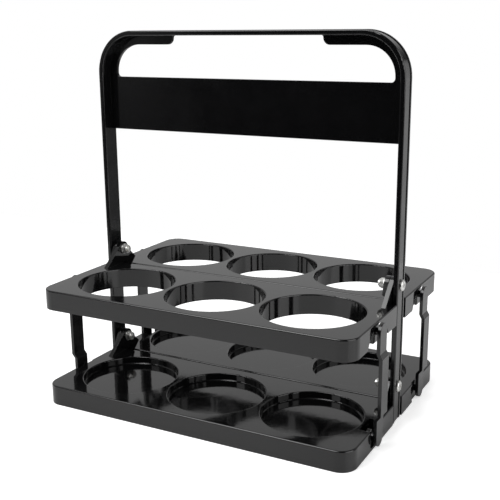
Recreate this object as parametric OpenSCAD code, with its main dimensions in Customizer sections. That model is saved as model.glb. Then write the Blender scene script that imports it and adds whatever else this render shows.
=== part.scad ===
// Folding carrier for six bottles: two split decks on one bail handle.
// X runs along the three bottles, Y from front to rear, Z up, and the floor is Z = 0.

/* [Decks] */
// Length of each deck over both ends
tray_l = 300; // [270:1:340]
// Width of each deck over both halves
tray_w = 220; // [200:1:260]
// Height of a deck's skirt
tray_h = 18; // [17:1:24]
// Rise from the lower deck to the upper deck
deck_rise = 91; // [75:1:110]
// Gap at the seam between the two halves of a deck
seam = 2; // [1:0.5:3]
// Corner radius of a deck in plan
corner_r = 14; // [8:1:18]
// Radius along the upper edges of a deck
edge_r = 1.2; // [0.6:0.2:1.6]
// Thickness of a deck's top plate
plate_t = 3; // [2:0.5:4]
// Thickness of a deck's outer walls
skirt_t = 2.5; // [2:0.1:2.8]
// Thickness of the stiffening ribs under a deck
rib_t = 1.6; // [1.2:0.1:2.4]

/* [Bottle places] */
// Land between a deck's end and the nearest bottle place
end_land = 13; // [12:0.5:20]
// Land between neighbouring bottle places
place_gap = 5; // [5:0.5:12]
// Least land between a bottle place and the front wall or the seam
side_land = 10.5; // [6:0.5:16]
// Thickness of the wall round each place
collar_t = 2.5; // [2:0.1:2.8]
// Radius round the upper edge of each place
rim_r = 1; // [0.4:0.1:1.4]
// Depth of a bottle seat in the lower deck
seat_depth = 16; // [14:0.5:16]
// Depth at which the seat steps in
ledge_depth = 8; // [6:0.5:10]
// Width of that step
ledge_w = 3; // [2:0.5:5]

/* [Handle] */
// Height of the handle over all
handle_h = 332; // [310:1:360]
// Width of the handle's band from front to rear
bar_w = 18; // [16:1:20]
// Thickness of the band
bar_t = 4.5; // [4:0.1:5.5]
// Step from the end of the decks to the band's outer face
bar_inset = 0.5; // [0:0.1:1]
// Outer radius of the band's upper bends
bend_r = 38; // [34:1:50]
// Radius along the band's edges
band_edge_r = 1.2; // [0.6:0.1:1.6]
// Width of the groove in the band's outer face
groove_w = 12; // [11:0.5:13]
// Depth of that groove
groove_d = 0.6; // [0.3:0.1:0.8]
// Height of the cross panel
panel_h = 49; // [35:1:60]
// Thickness of the cross panel and the web
panel_t = 3; // [2.5:0.1:4]
// Place of the panel's middle plane behind the band's middle
panel_y = 4.5; // [0:0.5:6]
// Distance from the top of the handle to the top of the panel
grip_h = 42; // [38:1:52]
// Depth of the web inside the band
web_w = 8; // [7:0.5:10]
// Inner corner radius of the web
web_r = 25; // [18:1:25]
// Half length of the free grip
grip_half = 74; // [60:1:80]

/* [Hinges] */
// Height of the hinge axes over their deck
pivot_rise = 14; // [13.5:0.5:16]
// Radius of an ear round its pivot
boss_r = 7; // [6:0.5:8]
// Thickness of an ear
ear_t = 4; // [3:0.1:4.2]
// Gap between the ears and beside the band
ear_gap = 0.4; // [0.3:0.1:0.5]
// Reach of an outer ear along the deck
ear_reach_out = 25; // [20:1:32]
// Reach of an inner ear along the deck
ear_reach_in = 28; // [20:1:32]
// How far an ear's toe passes the pivot
toe_y = 11; // [8:0.5:11]
// Drop of the toe under the pivot
toe_drop = 7; // [5:0.5:7]
// Gap from the band to a deck's notch, on both sides
notch_gap = 2.5; // [2:0.5:3.5]
// Gap from the band to the bottom of that notch
notch_back = 1.5; // [1:0.5:2]

/* [Screws] */
// Diameter of the hinge screws
screw_d = 5; // [4:0.5:5]
// Radial running clearance of the ears on the screws
run_gap = 0.05; // [0.02:0.01:0.08]
// Diameter of a screw head
head_d = 10; // [9:0.5:10.5]
// Height of a screw head
head_h = 2.8; // [2.4:0.1:3.2]
// Width of the socket across its flats
socket_af = 3; // [2.5:0.5:3.5]
// Thickness of a washer
washer_t = 1.2; // [0.8:0.1:1.4]
// Diameter of a washer
washer_d = 10; // [9:0.5:11]
// Gap between a washer and the inner ear
washer_gap = 0.1; // [0.05:0.05:0.2]
// Width of a nut across its flats
nut_af = 8; // [7:0.5:8]
// Height of a nut's hexagon
nut_h = 3.4; // [3:0.1:4]
// Height of a nut's locking collar
nut_collar_h = 1.1; // [0.8:0.1:1.4]
// How far a screw passes its nut
screw_tail = 1; // [0.5:0.1:2]

/* [Links] */
// Width of a link
link_w = 15; // [13:0.5:16]
// Thickness of a link
link_t = 3; // [2.6:0.1:3.4]
// Gap from a deck's end to a link at the upper deck
link_gap_top = 1.4; // [0.8:0.1:1.8]
// Gap from a deck's end to a link at the lower deck
link_gap_low = 0.5; // [0.4:0.1:0.8]
// Gap from a deck's end to the middle of a link
link_gap_mid = 3.6; // [3:0.1:4.5]
// Distance from a deck to the near end of a link's step
step_gap = 8; // [6:0.5:10]
// Height of a link's step
step_h = 4; // [3:0.5:6]
// Diameter of a link's studs
stud_d = 6; // [5:0.5:6]
// How far the snap of a stud stands out all round
snap_out = 0.6; // [0.4:0.1:0.8]
// Length of the snap of a stud
snap_l = 1.5; // [1:0.1:1.8]
// Length of the bearing that holds a stud
bearing_l = 5; // [4:0.5:5]
// Half width of that bearing
bearing_half = 6; // [5:0.5:7]
// Depth of the recesses in the ends of the decks
recess_d = 2; // [1:0.1:2]
// Radius of the arched recess in the upper deck
arch_r = 25.5; // [20:0.5:27]
// Height of that arch's top over the deck's lower edge
arch_top = 15.5; // [14.5:0.5:16]
// Radius of the round recess in the lower deck
round_recess_r = 16; // [12:0.5:17]
// Half width of the pocket in the lower deck
pocket_half = 12; // [10:0.5:13]
// Thickness of the pocket's floor and walls
pocket_t = 2.5; // [2:0.1:3]
// Radius of the pocket's lower corners
pocket_r = 4; // [2:0.5:5]
// Thickness of the rib that holds the stud in the pocket
pocket_rib_t = 3; // [2.5:0.1:3.5]

/* [Hidden] */
$fn = 96;
cut = 1;
overlap = 0.5;
half_l = tray_l / 2;
half_d = (tray_w - seam) / 2;
row_y = -(seam + half_d) / 2;
columns = [-1, 0, 1];
hole_pitch = (tray_l - 2 * end_land + place_gap) / len(columns);
hole_r = min(hole_pitch - place_gap, half_d - 2 * side_land) / 2;
collar_r = hole_r + collar_t;
ends = [-1, 1];

upper_top = deck_rise + tray_h;
pivot_z = tray_h + pivot_rise;
pivot_heights = [pivot_z, deck_rise + pivot_z];
screw_r = screw_d / 2;
bore_r = screw_r + run_gap;

bar_out = half_l - bar_inset;
bar_in = bar_out - bar_t;
notch_x = bar_in - notch_back;
notch_half = bar_w / 2 + notch_gap;
panel_top = handle_h - grip_h;
panel_low = panel_top - panel_h;
panel_fillet = 3.5;
web_end_r = 6;
web_root_r = web_w - web_end_r;

outer_ear_x = bar_in - ear_gap - ear_t;
inner_ear_x = outer_ear_x - ear_gap - ear_t;
washer_x = inner_ear_x - washer_gap - washer_t;
nut_x = washer_x - nut_h - nut_collar_h;
head_x = bar_out - groove_d;
socket_d = 1.6;
dome_r = 1.6;
nut_bevel = 0.5;
nut_collar_step = 0.4;
nut_bore_gap = 0.02;

stud_r = stud_d / 2;
stud_z = tray_h / 2;
shoulder_r = boss_r - 0.06;
bearing_x = half_l - recess_d - bearing_l;
pocket_x = hole_pitch + collar_r;
rib_top_gap = 2.5;
snap_gap = 0.2;

plastic = "#1d1d1f";
steel = "#c9cacc";

// A square corner's waste when the corner at the origin is rounded by r.
module corner_waste(r) {
    translate([-r, -r])
        difference() {
            square(r + cut);
            circle(r);
        }
}

// Turns a profile drawn in Y and Z into a bar along X.
module along_x(length) {
    rotate([90, 0, 90])
        linear_extrude(length)
            children();
}

// A straight bore or shaft along X.
module rod_x(r, length) {
    rotate([0, 90, 0])
        cylinder(r = r, h = length);
}

// Section of half a deck from the front wall at -depth, with its upper front edge rounded.
module front_edge_profile(depth) {
    difference() {
        translate([-depth, 0])
            square([depth, tray_h]);
        translate([-depth, tray_h])
            mirror([1, 0])
                corner_waste(edge_r);
    }
}

// Section across the length of a deck, both upper edges rounded.
module end_edge_profile() {
    difference() {
        translate([-half_l, 0])
            square([tray_l, tray_h]);
        for (side = ends)
            scale([side, 1])
                translate([half_l, tray_h])
                    corner_waste(edge_r);
    }
}

// Solid outline of a half deck before it is hollowed out.
module tray_blank() {
    front_y = -seam / 2 - half_d;
    intersection() {
        union() {
            translate([0, -seam / 2, 0])
                rotate([90, 0, 0])
                    linear_extrude(half_d - corner_r)
                        end_edge_profile();
            translate([-half_l + corner_r, front_y + corner_r, 0])
                along_x(tray_l - 2 * corner_r)
                    front_edge_profile(corner_r);
            for (side = ends)
                scale([side, 1, 1])
                    translate([half_l - corner_r, front_y + corner_r, 0])
                        rotate([0, 0, -90])
                            rotate_extrude(angle = 90)
                                mirror([1, 0])
                                    front_edge_profile(corner_r);
        }
        translate([-half_l - cut, 0, 0])
            along_x(tray_l + 2 * cut)
                difference() {
                    translate([front_y - cut, -cut])
                        square([half_d + cut, tray_h + 2 * cut]);
                    translate([-seam / 2, tray_h])
                        corner_waste(edge_r);
                }
    }
}

// Plan of the hollow under a half deck, with its ribs, bearings and pocket left standing.
module hollow_plan(pocket) {
    inner_r = corner_r - skirt_t;
    front_y = -seam / 2 - half_d + skirt_t;
    back_y = -seam / 2 - skirt_t;
    end_x = half_l - skirt_t;
    difference() {
        union() {
            translate([-end_x, front_y + inner_r])
                square([2 * end_x, back_y - front_y - inner_r]);
            translate([-end_x + inner_r, front_y])
                square([2 * (end_x - inner_r), inner_r + cut]);
            for (side = ends)
                translate([side * (end_x - inner_r), front_y + inner_r])
                    circle(inner_r);
        }
        for (column = columns)
            translate([column * hole_pitch, row_y])
                circle(collar_r);
        for (side = ends)
            translate([side * hole_pitch / 2 - rib_t / 2, front_y - cut])
                square([rib_t, half_d]);
        for (side = ends)
            scale([side, 1]) {
                translate([notch_x - skirt_t, -notch_half - skirt_t])
                    square([half_l, notch_half + skirt_t]);
                translate([bearing_x, row_y - bearing_half])
                    square([half_l, 2 * bearing_half]);
            }
        if (pocket)
            translate([hole_pitch, row_y - pocket_half - pocket_t])
                square([half_l, 2 * (pocket_half + pocket_t)]);
    }
}

// Waste that rounds the upper edge of a bottle place.
module rim_waste() {
    translate([0, 0, tray_h])
        rotate_extrude()
            translate([hole_r, 0])
                mirror([1, 0])
                    corner_waste(rim_r);
}

// Waste of the pocket that a link's lower end swings in.
module pocket_waste() {
    width = 2 * (pocket_half - pocket_r);
    along_x(half_l - pocket_x + cut) {
        translate([-pocket_half, pocket_t + pocket_r])
            square([2 * pocket_half, tray_h]);
        translate([-width / 2, pocket_t])
            square([width, tray_h]);
        for (side = ends)
            translate([side * width / 2, pocket_t + pocket_r])
                circle(pocket_r);
    }
}

// Waste that opens the end wall of the upper deck round the bearing of a link's stud.
module arch_waste() {
    for (side = ends)
        intersection() {
            translate([half_l - skirt_t - overlap, row_y, arch_top - arch_r])
                rod_x(arch_r, half_l);
            translate([0, row_y + side * (half_l / 2 + bearing_half) - half_l / 2, 0])
                cube([tray_l, half_l, tray_h]);
        }
}

// Rib across the pocket, rounded over the stud that it holds.
module pocket_rib() {
    translate([bearing_x, row_y, 0])
        along_x(pocket_rib_t) {
            translate([-bearing_half, pocket_t - overlap])
                square([2 * bearing_half, stud_z - pocket_t + overlap]);
            translate([0, stud_z])
                circle(stud_r + rib_top_gap);
        }
}

// Outline of an ear over its deck: a slanted arm up to the boss, and the toe past the seam.
// The arm's edges end just inside the boss, so that they cross its circle cleanly.
module ear_outline(reach) {
    heel = [-reach, -pivot_rise];
    toe = [toe_y, -toe_drop];
    heel_angle = atan2(heel[1], heel[0]) - acos(boss_r / norm(heel));
    toe_angle = atan2(toe[1], toe[0]) + acos(boss_r / norm(toe));
    translate([0, tray_h + pivot_rise]) {
        polygon([
            heel,
            shoulder_r * [cos(heel_angle), sin(heel_angle)],
            [0, 0],
            shoulder_r * [cos(toe_angle), sin(toe_angle)],
            toe,
            [-seam / 2, -pivot_rise],
            [-seam / 2, -pivot_rise - overlap],
            [-reach, -pivot_rise - overlap]]);
        circle(boss_r);
    }
}

module ears() {
    translate([outer_ear_x, 0, 0])
        along_x(ear_t)
            ear_outline(ear_reach_out);
    translate([-inner_ear_x - ear_t, 0, 0])
        along_x(ear_t)
            ear_outline(ear_reach_in);
}

// Front half of a deck. The rear half is the same part turned half round.
module tray_half(lower) {
    difference() {
        union() {
            difference() {
                tray_blank();
                translate([0, 0, -cut])
                    linear_extrude(tray_h - plate_t + cut)
                        hollow_plan(lower);
            }
            ears();
        }
        for (column = columns)
            translate([column * hole_pitch, row_y, 0])
                bottle_waste(lower);
        for (side = ends)
            scale([side, 1, 1]) {
                translate([notch_x, -notch_half, -cut])
                    cube([half_l, notch_half, tray_h + cut]);
                translate([bearing_x - cut, row_y, stud_z])
                    rod_x(stud_r + run_gap, half_l);
            }
        for (side = lower ? [-1] : ends)
            scale([side, 1, 1])
                translate([half_l - recess_d, row_y, lower ? stud_z : arch_top - arch_r])
                    rod_x(lower ? round_recess_r : arch_r, half_l);
        if (lower)
            translate([pocket_x, row_y, 0])
                pocket_waste();
        else
            for (side = ends)
                scale([side, 1, 1])
                    arch_waste();
        translate([-half_l, 0, pivot_z])
            rod_x(bore_r, tray_l);
    }
    if (lower)
        difference() {
            pocket_rib();
            translate([bearing_x - cut, row_y, stud_z])
                rod_x(stud_r + run_gap, half_l);
        }
}

// What a bottle place takes out of a deck: a through hole, or a stepped seat.
module bottle_waste(lower) {
    rim_waste();
    if (lower) {
        translate([0, 0, tray_h - ledge_depth])
            cylinder(r = hole_r, h = tray_h);
        translate([0, 0, tray_h - seat_depth])
            cylinder(r = hole_r - ledge_w, h = tray_h);
    } else {
        translate([0, 0, -cut])
            cylinder(r = hole_r, h = tray_h + 2 * cut);
    }
}

module upper_tray_front() {
    color(plastic)
        translate([0, 0, deck_rise])
            tray_half(false);
}

module upper_tray_rear() {
    rotate([0, 0, 180])
        upper_tray_front();
}

module lower_tray_front() {
    color(plastic)
        tray_half(true);
}

module lower_tray_rear() {
    rotate([0, 0, 180])
        lower_tray_front();
}

// Section of the handle's band: inner face at 0, outer face with its groove at bar_t.
module band_section() {
    difference() {
        translate([0, -bar_w / 2])
            square([bar_t, bar_w]);
        for (side = ends)
            scale([1, side]) {
                translate([bar_t, bar_w / 2])
                    corner_waste(band_edge_r);
                translate([0, bar_w / 2])
                    mirror([1, 0])
                        corner_waste(band_edge_r);
            }
        translate([bar_t - groove_d, -groove_w / 2])
            square([groove_d + cut, groove_w]);
    }
}

module band_half() {
    straight = handle_h - bend_r;
    translate([bar_in, 0, 0])
        linear_extrude(straight)
            band_section();
    translate([bar_out - bend_r, 0, straight])
        rotate([90, 0, 0])
            rotate_extrude(angle = 90)
                translate([bend_r - bar_t, 0])
                    band_section();
    translate([0, 0, handle_h - bar_t])
        rotate([0, 90, 0])
            linear_extrude(bar_out - bend_r)
                rotate(180)
                    band_section();
}

// Outline of the cross panel and the web inside the band, drawn in X and Z.
module panel_outline() {
    inner_r = bend_r - bar_t + overlap;
    side_x = bar_in + overlap;
    top_z = handle_h - bar_t + overlap;
    open_x = bar_in - web_w;
    open_z = handle_h - bar_t - web_w;
    difference() {
        union() {
            translate([-side_x, panel_low])
                square([2 * side_x, top_z - inner_r - panel_low]);
            translate([-side_x + inner_r, panel_low])
                square([2 * (side_x - inner_r), top_z - panel_low]);
            for (side = ends)
                translate([side * (side_x - inner_r), top_z - inner_r])
                    circle(inner_r);
        }
        grip_opening(open_x, open_z);
        translate([-grip_half, open_z - cut])
            square([2 * grip_half, web_w + 2 * cut]);
        for (side = ends)
            scale([side, 1])
                translate([grip_half, open_z])
                    rotate(180)
                        corner_waste(web_end_r);
    }
    for (side = ends)
        scale([side, 1])
            translate([grip_half, handle_h - bar_t])
                root_fillet(web_root_r);
}

// A small fillet in the inner corner at the origin, material towards -X and +Y.
module root_fillet(r) {
    difference() {
        translate([-r, -r])
            square([r, r]);
        translate([-r, -r])
            circle(r);
    }
}

// The opening over the panel: round upper corners, small fillets on the panel.
module grip_opening(open_x, open_z) {
    difference() {
        union() {
            translate([-open_x, panel_top])
                square([2 * open_x, open_z - web_r - panel_top]);
            translate([-open_x + web_r, panel_top])
                square([2 * (open_x - web_r), open_z - panel_top]);
            for (side = ends)
                translate([side * (open_x - web_r), open_z - web_r])
                    circle(web_r);
        }
        translate([-half_l, panel_low])
            square([tray_l, panel_h]);
        for (side = ends)
            scale([side, -1])
                translate([open_x, -panel_top])
                    corner_waste(panel_fillet);
    }
}

module handle_frame() {
    color(plastic)
        difference() {
            union() {
                band_half();
                mirror([1, 0, 0])
                    band_half();
                translate([0, panel_y + panel_t / 2, 0])
                    rotate([90, 0, 0])
                        linear_extrude(panel_t)
                            panel_outline();
            }
            for (z = pivot_heights)
                translate([-half_l, 0, z])
                    rod_x(bore_r, tray_l);
        }
}

// A link on the right end: thin strap, stepped out in the middle, with a stud at each end.
module link(side_x, side_y) {
    low_z = stud_z;
    top_z = deck_rise + stud_z;
    steps = [
        [half_l + link_gap_low, 0],
        [half_l + link_gap_low, tray_h + step_gap],
        [half_l + link_gap_mid, tray_h + step_gap + step_h],
        [half_l + link_gap_mid, deck_rise - step_gap - step_h],
        [half_l + link_gap_top, deck_rise - step_gap],
        [half_l + link_gap_top, upper_top]];
    back = [for (i = [len(steps) - 1 : -1 : 0]) steps[i] + [link_t, 0]];
    color(plastic)
        scale([side_x, 1, 1])
            translate([0, side_y * row_y, 0]) {
                intersection() {
                    translate([0, link_w / 2, 0])
                        rotate([90, 0, 0])
                            linear_extrude(link_w)
                                polygon(concat(steps, back));
                    along_x(tray_l) {
                        translate([-link_w / 2, low_z])
                            square([link_w, top_z - low_z]);
                        for (z = [low_z, top_z])
                            translate([0, z])
                                circle(link_w / 2);
                    }
                }
                stud(low_z, half_l + link_gap_low);
                stud(top_z, half_l + link_gap_top);
            }
}

// A stud from a link's inner face through its bearing, with the snap behind it.
module stud(z, face_x) {
    snap_x = bearing_x - snap_gap - snap_l;
    translate([snap_x + snap_l / 2, 0, z])
        rod_x(stud_r, face_x - snap_x - snap_l / 2 + link_t / 2);
    translate([snap_x, 0, z])
        rotate([0, 90, 0])
            cylinder(r1 = stud_r - snap_out, r2 = stud_r + snap_out, h = snap_l);
}

// Moves a right-hand hinge piece to its place; left is the mirror image.
module at_hinge(side_x, z) {
    scale([side_x, 1, 1])
        translate([0, 0, z])
            children();
}

module hinge_screw(side_x, z) {
    tip_x = nut_x - screw_tail;
    color(steel)
        at_hinge(side_x, z) {
            translate([tip_x, 0, 0])
                rod_x(screw_r, head_x - tip_x + head_h / 2);
            translate([head_x, 0, 0])
                rotate([0, 90, 0])
                    difference() {
                        rotate_extrude()
                            difference() {
                                square([head_d / 2, head_h]);
                                translate([head_d / 2, head_h])
                                    corner_waste(dome_r);
                            }
                        translate([0, 0, head_h - socket_d])
                            cylinder(d = socket_af / cos(30), h = head_h, $fn = 6);
                    }
        }
}

module hinge_washer(side_x, z) {
    color(steel)
        at_hinge(side_x, z)
            translate([washer_x, 0, 0])
                rotate([0, 90, 0])
                    difference() {
                        cylinder(d = washer_d, h = washer_t);
                        translate([0, 0, -cut])
                            cylinder(r = bore_r, h = washer_t + 2 * cut);
                    }
}

module hinge_nut(side_x, z) {
    hex_r = nut_af / 2 / cos(30);
    color(steel)
        at_hinge(side_x, z)
            translate([washer_x, 0, 0])
                rotate([0, -90, 0])
                    difference() {
                        union() {
                            intersection() {
                                cylinder(r = hex_r, h = nut_h, $fn = 6);
                                cylinder(r1 = hex_r + nut_h - nut_bevel, r2 = hex_r - nut_bevel, h = nut_h);
                            }
                            cylinder(r = nut_af / 2 - nut_collar_step, h = nut_h + nut_collar_h);
                        }
                        translate([0, 0, -cut])
                            cylinder(r = screw_r + nut_bore_gap, h = nut_h + nut_collar_h + 2 * cut);
                    }
}

handle_frame();
upper_tray_front();
upper_tray_rear();
lower_tray_front();
lower_tray_rear();
link(-1, 1);  // link_front_left
link(1, 1);  // link_front_right
link(-1, -1);  // link_rear_left
link(1, -1);  // link_rear_right
hinge_screw(-1, pivot_heights[1]);  // hinge_screw_upper_left
hinge_screw(1, pivot_heights[1]);  // hinge_screw_upper_right
hinge_screw(-1, pivot_heights[0]);  // hinge_screw_lower_left
hinge_screw(1, pivot_heights[0]);  // hinge_screw_lower_right
hinge_washer(-1, pivot_heights[1]);  // hinge_washer_upper_left
hinge_washer(1, pivot_heights[1]);  // hinge_washer_upper_right
hinge_washer(-1, pivot_heights[0]);  // hinge_washer_lower_left
hinge_washer(1, pivot_heights[0]);  // hinge_washer_lower_right
hinge_nut(-1, pivot_heights[1]);  // hinge_nut_upper_left
hinge_nut(1, pivot_heights[1]);  // hinge_nut_upper_right
hinge_nut(-1, pivot_heights[0]);  // hinge_nut_lower_left
hinge_nut(1, pivot_heights[0]);  // hinge_nut_lower_right
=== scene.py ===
import math

import bmesh
import bpy
from mathutils import Matrix, Vector


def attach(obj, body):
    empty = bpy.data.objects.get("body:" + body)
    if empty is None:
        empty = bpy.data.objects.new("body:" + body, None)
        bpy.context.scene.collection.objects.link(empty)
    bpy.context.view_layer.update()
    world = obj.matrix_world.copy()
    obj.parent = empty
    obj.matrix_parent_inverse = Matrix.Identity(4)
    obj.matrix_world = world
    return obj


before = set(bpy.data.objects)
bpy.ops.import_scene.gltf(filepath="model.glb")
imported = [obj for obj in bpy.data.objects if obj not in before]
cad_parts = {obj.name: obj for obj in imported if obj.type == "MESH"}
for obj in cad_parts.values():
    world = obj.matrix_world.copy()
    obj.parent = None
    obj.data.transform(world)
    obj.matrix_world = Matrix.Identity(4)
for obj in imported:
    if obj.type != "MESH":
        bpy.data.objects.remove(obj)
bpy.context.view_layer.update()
scene = bpy.context.scene

# Camera. It stands in front of the carrier's right end and looks down a little, on a
# plain lens with no shift. Its place was fitted to the edges of the decks and the handle.
CAMERA_AZIMUTH = math.radians(28.11)
CAMERA_ELEVATION = math.radians(14.41)
CAMERA_ROLL = math.radians(-0.48)
CAMERA_AIM = Vector((0.00545, 0.0, 0.13734))
CAMERA_DISTANCE = 0.78975
CAMERA_LENS = 62.35

forward = Vector((-math.sin(CAMERA_AZIMUTH) * math.cos(CAMERA_ELEVATION),
                  math.cos(CAMERA_AZIMUTH) * math.cos(CAMERA_ELEVATION),
                  -math.sin(CAMERA_ELEVATION)))
sideways = Vector((math.cos(CAMERA_AZIMUTH), math.sin(CAMERA_AZIMUTH), 0.0))
upright = sideways.cross(forward)
camera_right = math.cos(CAMERA_ROLL) * sideways + math.sin(CAMERA_ROLL) * upright
camera_up = math.cos(CAMERA_ROLL) * upright - math.sin(CAMERA_ROLL) * sideways

camera_data = bpy.data.cameras.new("camera")
camera_data.sensor_width = 36.0
camera_data.lens = CAMERA_LENS
camera_data.clip_start = 0.01
camera_data.clip_end = 50.0
camera = bpy.data.objects.new("camera", camera_data)
scene.collection.objects.link(camera)
camera.matrix_world = (
    Matrix.Translation(CAMERA_AIM - forward * CAMERA_DISTANCE)
    @ Matrix((camera_right, camera_up, -forward)).transposed().to_4x4())
scene.camera = camera
scene.view_settings.view_transform = "Standard"

# Handle frame. One moulding of black ABS: the band, the cross panel and the web round the
# grip come out of the tool together. Its skin is glossy with a faint orange peel, and use
# has dulled it in fine scuffs and rubbed its edges a little paler.
WORN_EDGE = "#1c1c1e"

# Sockets of a Mix node, which go by number: its two numbers, its two colours, its results.
NUMBER_A, NUMBER_B, NUMBER_OUT = 2, 3, 0
COLOUR_A, COLOUR_B, COLOUR_OUT = 6, 7, 2


def linear(hex_colour):
    """An sRGB hex colour as a linear colour with alpha."""
    channels = [int(hex_colour[i:i + 2], 16) / 255 for i in (1, 3, 5)]
    return (*(c / 12.92 if c <= 0.04045 else ((c + 0.055) / 1.055) ** 2.4 for c in channels), 1.0)


def add_node(tree, kind, inputs=None, **settings):
    """A new node with its settings; an input is a value or another node's output socket."""
    made = tree.nodes.new(kind)
    for name, value in settings.items():
        setattr(made, name, value)
    for name, value in (inputs or {}).items():
        if isinstance(value, bpy.types.NodeSocket):
            tree.links.new(value, made.inputs[name])
        else:
            made.inputs[name].default_value = value
    return made


def new_material(name):
    """A node material with nothing in its tree yet, and that tree."""
    material = bpy.data.materials.new(name)
    material.use_nodes = True
    material.node_tree.nodes.clear()
    return material, material.node_tree


def black_moulding(name, colour, pale, gloss, dull, peel_mm, edge_mm):
    """Injection moulded ABS: gloss and dull are the roughness of its skin and of its scuffs."""
    material, tree = new_material(name)
    place = add_node(tree, "ShaderNodeTexCoord").outputs["Object"]
    # Orange peel: low swells a few millimetres apart, left by the steel of the mould.
    peel = add_node(tree, "ShaderNodeTexNoise", {
        "Vector": place, "Scale": 1000 / peel_mm, "Detail": 1.5, "Roughness": 0.4})
    # Scuffs are 0.5 mm wide and 8 mm long here; real ones are finer than the picture shows.
    stretched = add_node(tree, "ShaderNodeMapping", {
        "Vector": place, "Rotation": (0.3, 0.5, 0.9), "Scale": (2000.0, 125.0, 1400.0)})
    scuffs = add_node(tree, "ShaderNodeTexNoise", {
        "Vector": stretched.outputs["Vector"], "Scale": 1.0, "Detail": 3.0, "Roughness": 0.6})
    # Hands and cloths dull the skin in patches about 25 mm across.
    patches = add_node(tree, "ShaderNodeTexNoise", {
        "Vector": place, "Scale": 40.0, "Detail": 3.0, "Roughness": 0.55}).outputs["Fac"]
    # Edges are broken by a small radius, and they show where it turns the surface away.
    rounded = add_node(tree, "ShaderNodeBevel", {"Radius": edge_mm / 1000}, samples=16)
    flat = add_node(tree, "ShaderNodeNewGeometry").outputs["Normal"]
    facing = add_node(tree, "ShaderNodeVectorMath", {
        0: rounded.outputs["Normal"], 1: flat}, operation="DOT_PRODUCT")
    edge = add_node(tree, "ShaderNodeMapRange", {
        "Value": facing.outputs["Value"], "From Min": 0.98, "From Max": 0.75,
        "To Min": 0.0, "To Max": 1.0})
    wear = add_node(tree, "ShaderNodeMath", {
        0: edge.outputs["Result"], 1: patches}, operation="MULTIPLY")
    tone = add_node(tree, "ShaderNodeMix", {
        "Factor": patches, COLOUR_A: linear(colour), COLOUR_B: linear(pale)}, data_type="RGBA")
    rubbed = add_node(tree, "ShaderNodeMix", {
        "Factor": wear.outputs["Value"], COLOUR_A: tone.outputs[COLOUR_OUT],
        COLOUR_B: linear(WORN_EDGE)}, data_type="RGBA")
    dulling = add_node(tree, "ShaderNodeMath", {
        0: scuffs.outputs["Fac"], 1: patches}, operation="MULTIPLY")
    roughness = add_node(tree, "ShaderNodeMapRange", {
        "Value": dulling.outputs["Value"], "From Min": 0.15, "From Max": 0.42,
        "To Min": gloss, "To Max": dull})
    bump = add_node(tree, "ShaderNodeBump", {
        "Height": peel.outputs["Fac"], "Normal": rounded.outputs["Normal"],
        "Strength": 0.35, "Distance": 0.00006})
    shader = add_node(tree, "ShaderNodeBsdfPrincipled", {
        "Base Color": rubbed.outputs[COLOUR_OUT], "Roughness": roughness.outputs["Result"],
        "IOR": 1.53, "Normal": bump.outputs["Normal"]})
    add_node(tree, "ShaderNodeOutputMaterial", {"Surface": shader.outputs["BSDF"]})
    return material


def finish_nodes(material, *names):
    """Gives CAD nodes their material."""
    for name in names:
        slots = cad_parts[name].data.materials
        for i in range(len(slots)):
            slots[i] = material


handle_moulding = black_moulding(
    "gloss_abs_handle", "#0a0a0b", "#0e0e0f", 0.10, 0.20, peel_mm=6.0, edge_mm=0.2)
finish_nodes(handle_moulding, "handle_frame")

# Decks. Two halves of each deck, of the same ABS as the handle but from a more polished
# tool, so their flat tops mirror what stands over them.
deck_moulding = black_moulding(
    "polished_abs_decks", "#090909", "#0c0c0d", 0.05, 0.12, peel_mm=7.0, edge_mm=0.25)
finish_nodes(
    deck_moulding, "upper_tray_front", "upper_tray_rear", "lower_tray_front", "lower_tray_rear")

# Seat floors. The photograph shows flat polished floors 7 mm under the lower deck's top,
# with a small fillet at the wall. The source's seats go deeper, with a ledge at 8 mm, and
# these floors, moulded with the deck, lie on that ledge.
DECK_TOP = 0.018
PLACE_PITCH = 0.093
ROW_Y = 0.0555
SEAT_R = 0.04396  # just inside the moulded wall at 44 mm
SEAT_FILLET = 0.001
FILLET_STEPS = 8
SEAT_CHAMFER = 0.0004
SEAT_LEDGE = DECK_TOP - 0.008
SEAT_FLOOR = DECK_TOP - 0.007


def lathe(name, profile, centre, steps=128):
    """A solid of revolution about the vertical through centre, from (radius, height) pairs."""
    turned = bmesh.new()
    points = [turned.verts.new((centre[0] + radius, centre[1], height))
              for radius, height in profile]
    line = [turned.edges.new(pair) for pair in zip(points, points[1:])]
    bmesh.ops.spin(turned, geom=points + line, cent=(*centre, 0.0), axis=(0.0, 0.0, 1.0),
                   dvec=(0.0, 0.0, 0.0), angle=math.tau, steps=steps, use_merge=True)
    bmesh.ops.remove_doubles(turned, verts=turned.verts, dist=1e-6)
    for face in turned.faces:
        face.smooth = True
    for face in bmesh.ops.holes_fill(turned, edges=turned.edges, sides=0)["faces"]:
        face.smooth = False
    bmesh.ops.recalc_face_normals(turned, faces=turned.faces)
    mesh = bpy.data.meshes.new(name)
    turned.to_mesh(mesh)
    turned.free()
    made = bpy.data.objects.new(name, mesh)
    scene.collection.objects.link(made)
    return made


seat_profile = [(SEAT_R - SEAT_CHAMFER, SEAT_LEDGE), (SEAT_R, SEAT_LEDGE + SEAT_CHAMFER)]
for step in range(FILLET_STEPS + 1):
    angle = math.radians(90 * step / FILLET_STEPS)
    seat_profile.append((SEAT_R - SEAT_FILLET * (1 - math.cos(angle)),
                         SEAT_FLOOR + SEAT_FILLET * (1 - math.sin(angle))))
for row, side in (("front", -1), ("rear", 1)):
    for number, column in enumerate((-1, 0, 1), start=1):
        seat_floor = lathe("seat_floor_%s_%d" % (row, number), seat_profile,
                           (column * PLACE_PITCH, side * ROW_Y))
        seat_floor.data.materials.append(deck_moulding)
        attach(seat_floor, "lower_" + row)

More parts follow.
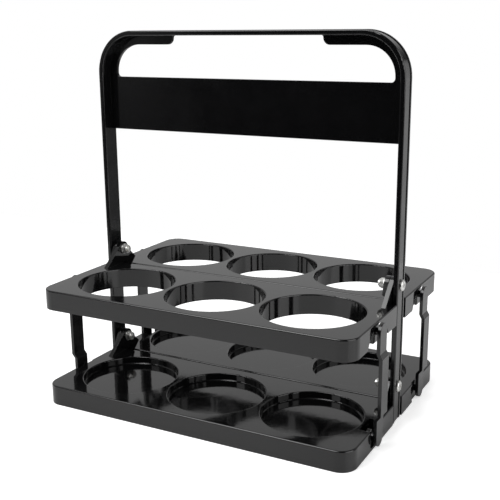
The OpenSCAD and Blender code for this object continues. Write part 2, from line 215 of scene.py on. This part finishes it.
# Links. Four straps of ABS from a small tool, snapped into the ends of the decks; they rub
# on the decks as these fold, so they are duller.
link_moulding = black_moulding(
    "satin_abs_links", "#0a0a0b", "#0f0f10", 0.14, 0.25, peel_mm=4.0, edge_mm=0.4)
finish_nodes(
    link_moulding, "link_front_left", "link_front_right", "link_rear_left", "link_rear_right")


# Hinge screws, washers and nuts. Zinc plated steel: the plating is bright with a fine grain
# from turning and barrel plating, and a faint blue and straw tint.
def zinc_plate(name):
    """Bright zinc on steel, clouded in patches about 2 mm across."""
    material, tree = new_material(name)
    place = add_node(tree, "ShaderNodeTexCoord").outputs["Object"]
    # Plating crystals are drawn 0.15 mm across, coarser than real, so that they show.
    crystals = add_node(tree, "ShaderNodeTexVoronoi", {"Vector": place, "Scale": 6500.0})
    clouds = add_node(tree, "ShaderNodeTexNoise", {
        "Vector": place, "Scale": 420.0, "Detail": 3.0, "Roughness": 0.6}).outputs["Fac"]
    tint = add_node(tree, "ShaderNodeMix", {
        "Factor": clouds, COLOUR_A: linear("#ecedef"), COLOUR_B: linear("#d6d4cc")},
        data_type="RGBA")
    roughness = add_node(tree, "ShaderNodeMapRange", {
        "Value": clouds, "From Min": 0.3, "From Max": 0.7, "To Min": 0.28, "To Max": 0.45})
    bump = add_node(tree, "ShaderNodeBump", {
        "Height": crystals.outputs["Distance"], "Strength": 0.3, "Distance": 0.00002})
    shader = add_node(tree, "ShaderNodeBsdfPrincipled", {
        "Base Color": tint.outputs[COLOUR_OUT], "Metallic": 1.0,
        "Roughness": roughness.outputs["Result"], "Normal": bump.outputs["Normal"]})
    add_node(tree, "ShaderNodeOutputMaterial", {"Surface": shader.outputs["BSDF"]})
    return material


zinc = zinc_plate("zinc_plated_steel")
finish_nodes(zinc, *[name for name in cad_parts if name.startswith("hinge_")])

# Nylon rings of the lock nuts. Each is rolled into its nut's collar and grips the thread.
# It is turned from natural nylon, which is milky and dull with a fine grain.
RING_INNER = 0.00252
RING_OUTER = 0.0031
RING_PROUD = 0.00012
RING_DEEP = 0.0006
HINGE_HEIGHTS = {"lower": 0.032, "upper": 0.123}


def nylon(name):
    """Natural nylon with a grain 0.4 mm across, drawn coarser than real so that it shows."""
    material, tree = new_material(name)
    place = add_node(tree, "ShaderNodeTexCoord").outputs["Object"]
    grain = add_node(tree, "ShaderNodeTexNoise", {
        "Vector": place, "Scale": 2500.0, "Detail": 2.0}).outputs["Fac"]
    tint = add_node(tree, "ShaderNodeMix", {
        "Factor": grain, COLOUR_A: linear("#d9d6cc"), COLOUR_B: linear("#bdb9ad")},
        data_type="RGBA")
    bump = add_node(tree, "ShaderNodeBump", {
        "Height": grain, "Strength": 0.3, "Distance": 0.00003})
    shader = add_node(tree, "ShaderNodeBsdfPrincipled", {
        "Base Color": tint.outputs[COLOUR_OUT], "Roughness": 0.5, "Subsurface Weight": 0.15,
        "Subsurface Scale": 0.0006, "Normal": bump.outputs["Normal"]})
    add_node(tree, "ShaderNodeOutputMaterial", {"Surface": shader.outputs["BSDF"]})
    return material


ring_profile = [(RING_INNER, -RING_DEEP), (RING_OUTER, -RING_DEEP),
                (RING_OUTER, 0.5 * RING_PROUD), (RING_OUTER - 0.5 * RING_PROUD, RING_PROUD),
                (RING_INNER + RING_PROUD, RING_PROUD), (RING_INNER, 0.0),
                (RING_INNER, -RING_DEEP)]
ring_nylon = nylon("natural_nylon")
for deck, height in HINGE_HEIGHTS.items():
    for end, side in (("left", -1), ("right", 1)):
        # The ring shows in the nut's inner end, which faces the middle of the carrier.
        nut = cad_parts["hinge_nut_%s_%s" % (deck, end)]
        inner_x = min((nut.matrix_world @ vertex.co).x * side for vertex in nut.data.vertices)
        ring = lathe("nylon_ring_%s_%s" % (deck, end), ring_profile, (0.0, 0.0), steps=64)
        ring.data.transform(Matrix.Translation((side * inner_x, 0.0, height))
                            @ Matrix.Rotation(math.radians(-90 * side), 4, "Y"))
        ring.data.materials.append(ring_nylon)
        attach(ring, "handle")

# Studio. A white table in a room that is dark behind the camera. A big soft box hangs at
# the front left with a small one beside it, a wide one stands at the right, and two cards
# behind the right end light the handle's side. The glossy black takes its greys from these.
TABLE_FRONT = -0.45
TABLE_BACK = 0.5
TABLE_HALF = 1.3
TABLE_DROP = 0.0003  # just under the feet, so that the two surfaces don't flicker
WHITE = linear("#ffffff")


def softbox(name, place, aim, size, strength):
    """A square area lamp with sides of that size in metres, aimed at a point."""
    lamp = bpy.data.lights.new(name, "AREA")
    lamp.shape = "SQUARE"
    lamp.size = size
    lamp.energy = strength
    lamp_object = bpy.data.objects.new(name, lamp)
    scene.collection.objects.link(lamp_object)
    lamp_object.location = place
    lamp_object.rotation_mode = "QUATERNION"
    lamp_object.rotation_quaternion = (Vector(aim) - Vector(place)).to_track_quat("-Z", "Y")


softbox("softbox_top", (-0.6, -0.95, 1.75), (0.0, 0.0, 0.1), 1.3, 26.0)
softbox("softbox_front", (-0.9, -1.55, 1.1), (0.0, 0.0, 0.1), 0.7, 6.0)
softbox("softbox_right", (1.9, -0.35, 0.95), (0.0, 0.0, 0.15), 1.8, 26.0)
softbox("card_rear_right", (0.47, 0.42, 0.2), (0.15, -0.35, 0.2), 0.42, 0.3)
softbox("card_high_right", (0.5, 0.42, 0.56), (0.15, -0.3, 0.3), 0.34, 0.2)

table_mesh = bpy.data.meshes.new("table")
outline = bmesh.new()
outline.faces.new([outline.verts.new((x, y, -TABLE_DROP)) for x, y in (
    (-TABLE_HALF, TABLE_FRONT), (TABLE_HALF, TABLE_FRONT),
    (TABLE_HALF, TABLE_BACK), (-TABLE_HALF, TABLE_BACK))])
outline.to_mesh(table_mesh)
outline.free()
table = bpy.data.objects.new("table", table_mesh)
scene.collection.objects.link(table)

# White paint, which the camera alone sees with a glow, so that it meets the white behind.
table_material, tree = new_material("white_table")
seen = add_node(tree, "ShaderNodeLightPath").outputs["Is Camera Ray"]
paint = add_node(tree, "ShaderNodeBsdfPrincipled", {
    "Base Color": linear("#f2f2f2"), "Roughness": 0.3, "Specular IOR Level": 0.3})
glow = add_node(tree, "ShaderNodeEmission", {"Color": WHITE, "Strength": 0.55})
lit = add_node(tree, "ShaderNodeAddShader", {
    0: paint.outputs["BSDF"], 1: glow.outputs["Emission"]})
surface = add_node(tree, "ShaderNodeMixShader", {
    "Fac": seen, 1: paint.outputs["BSDF"], 2: lit.outputs["Shader"]})
add_node(tree, "ShaderNodeOutputMaterial", {"Surface": surface.outputs["Shader"]})
table_mesh.materials.append(table_material)

# The room is dark in front, where the camera stands, paler at the sides and palest behind.
# It darkens to the right, and its floor is dim. The camera itself sees plain white.
world = bpy.data.worlds.new("studio")
scene.world = world
world.use_nodes = True
tree = world.node_tree
tree.nodes.clear()
direction = add_node(tree, "ShaderNodeTexCoord").outputs["Generated"]
axes = add_node(tree, "ShaderNodeSeparateXYZ", {"Vector": direction})
behind = add_node(tree, "ShaderNodeMapRange", {
    "Value": axes.outputs["Y"], "From Min": -0.4, "From Max": 0.15,
    "To Min": 0.0, "To Max": 0.26}, interpolation_type="SMOOTHSTEP")
beside = add_node(tree, "ShaderNodeMapRange", {
    "Value": axes.outputs["Y"], "From Min": -0.86, "From Max": -0.8,
    "To Min": 0.02, "To Max": 0.36}, interpolation_type="SMOOTHSTEP")
walls = add_node(tree, "ShaderNodeMath", {
    0: behind.outputs["Result"], 1: beside.outputs["Result"]}, operation="ADD")
to_the_right = add_node(tree, "ShaderNodeMapRange", {
    "Value": axes.outputs["X"], "From Min": -0.1, "From Max": 0.25,
    "To Min": 1.0, "To Max": 0.08}, interpolation_type="SMOOTHSTEP")
over_floor = add_node(tree, "ShaderNodeMapRange", {
    "Value": axes.outputs["Z"], "From Min": -0.1, "From Max": 0.02,
    "To Min": 0.0, "To Max": 1.0}, interpolation_type="SMOOTHSTEP")
share = add_node(tree, "ShaderNodeMix", {
    "Factor": over_floor.outputs["Result"], NUMBER_A: 0.3,
    NUMBER_B: to_the_right.outputs["Result"]})
room = add_node(tree, "ShaderNodeMath", {
    0: walls.outputs["Value"], 1: share.outputs[NUMBER_OUT]}, operation="MULTIPLY")
seen = add_node(tree, "ShaderNodeLightPath").outputs["Is Camera Ray"]
brightness = add_node(tree, "ShaderNodeMix", {
    "Factor": seen, NUMBER_A: room.outputs["Value"], NUMBER_B: 1.0})
background = add_node(tree, "ShaderNodeBackground", {
    "Color": WHITE, "Strength": brightness.outputs[NUMBER_OUT]})
add_node(tree, "ShaderNodeOutputWorld", {"Surface": background.outputs["Background"]})
